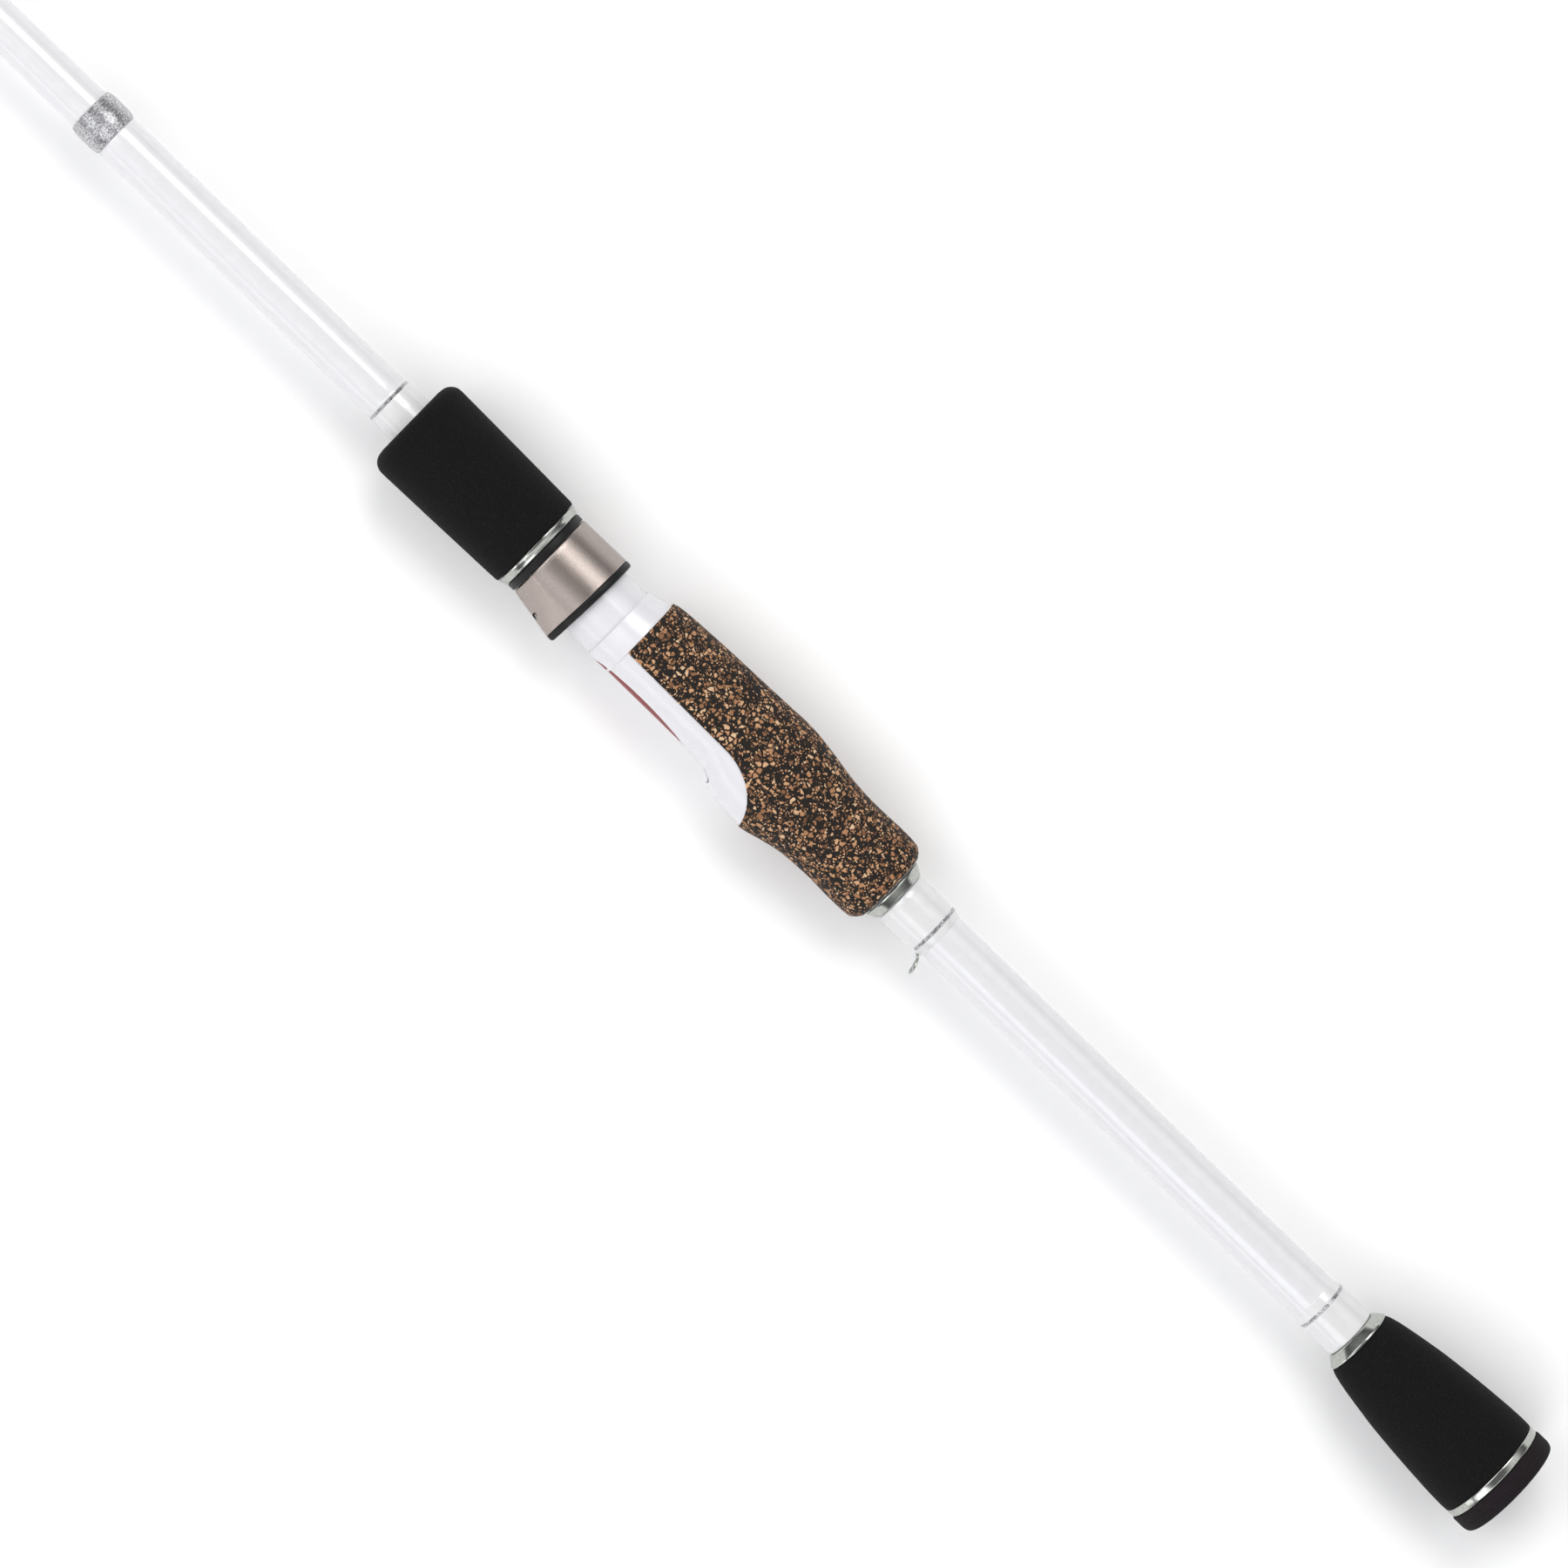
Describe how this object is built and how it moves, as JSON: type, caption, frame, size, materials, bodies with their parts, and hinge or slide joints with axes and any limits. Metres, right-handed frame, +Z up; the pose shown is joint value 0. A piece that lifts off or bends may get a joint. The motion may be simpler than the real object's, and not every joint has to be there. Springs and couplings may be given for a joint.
{
  "type": "spinning fishing rod",
  "caption": "Two-piece spinning rod with foam grips, a cork and white reel seat with a sliding hood, a hook keeper, ringed line guides and a ringed tip.",
  "frame": {"origin": "centre of the butt cap's flat end, on the rod's axis", "axes": "+X along the rod towards the tip, +Y towards the side the reel and the guides are on, +Z up as the rod lies on its side"},
  "size_m": [2.1348, 0.0521, 0.028],
  "materials": {
    "white_lacquer": "glossy white lacquer",
    "seat_white": "glossy white moulding",
    "black_foam": "matte fine foam",
    "rubber_cork": "sanded cork chips in dark rubber",
    "gunmetal": "satin anodised",
    "polished": "polished",
    "silver_thread": "metallic thread under clear coat",
    "black_plastic": "satin",
    "grey_foam": "matte",
    "guide_wire": "bright wire",
    "guide_ceramic": "polished dark ceramic"
  },
  "bodies": {
    "handle": {"butt_cap": "black_foam", "butt_grip": "black_foam", "butt_grip_check": "polished", "butt_section_blank": "white_lacquer", "butt_trim_ring": "polished", "butt_wrap": "white_lacquer", "fore_trim_band": "silver_thread", "fore_trim_wrap": "white_lacquer", "guide_1_frame": "guide_wire", "guide_1_front_wrap": "white_lacquer", "guide_1_rear_wrap": "white_lacquer", "guide_1_ring": "guide_ceramic", "hook_keeper": "polished", "keeper_trim_band": "silver_thread", "keeper_wrap": "white_lacquer", "rear_trim_band": "silver_thread", "rear_trim_wrap": "white_lacquer", "reel_seat_body": "seat_white", "seat_arbor_front": "grey_foam", "seat_arbor_middle": "grey_foam", "seat_arbor_rear": "grey_foam", "seat_cork_grip": "rubber_cork", "seat_rear_check": "polished", "silver_band": "silver_thread"},
    "hood": {"hood_shell": "gunmetal", "hood_liner": "black_plastic"},
    "foregrip": {"nut_collar": "black_plastic", "foregrip_check": "polished", "lock_nut": "black_plastic", "foregrip": "black_foam"},
    "tip_section": {"ferrule_socket": "white_lacquer", "ferrule_wrap": "white_lacquer", "guide_2_frame": "guide_wire", "guide_2_front_wrap": "white_lacquer", "guide_2_rear_wrap": "white_lacquer", "guide_2_ring": "guide_ceramic", "guide_3_frame": "guide_wire", "guide_3_front_wrap": "white_lacquer", "guide_3_ring": "guide_ceramic", "guide_4_frame": "guide_wire", "guide_4_front_wrap": "white_lacquer", "guide_4_ring": "guide_ceramic", "guide_5_frame": "guide_wire", "guide_5_front_wrap": "white_lacquer", "guide_5_ring": "guide_ceramic", "guide_6_frame": "guide_wire", "guide_6_front_wrap": "white_lacquer", "guide_6_ring": "guide_ceramic", "guide_7_frame": "guide_wire", "guide_7_front_wrap": "white_lacquer", "guide_7_ring": "guide_ceramic", "guide_8_frame": "guide_wire", "guide_8_front_wrap": "white_lacquer", "guide_8_ring": "guide_ceramic", "tip_section_blank": "white_lacquer", "tip_top_frame": "guide_wire", "tip_top_ring": "guide_ceramic", "tip_top_wrap": "white_lacquer"}
  },
  "joints": [
    {"name": "hood_slide", "type": "slide", "parent": "handle", "child": "hood", "axis": [1, 0, 0], "range_m": [0, 0.018]},
    {"name": "foregrip_turn", "type": "hinge", "parent": "hood", "child": "foregrip", "pos_m": [0.33, 0, 0], "axis": [1, 0, 0], "range_deg": [0, 3241]},
    {"name": "ferrule_slide", "type": "slide", "parent": "handle", "child": "tip_section", "axis": [1, 0, 0], "range_m": [0, 0.052]}
  ],
  "couplings": [
    {"joint": "foregrip_turn", "follows": "hood_slide", "rad_per_m": 3141.6}
  ]
}
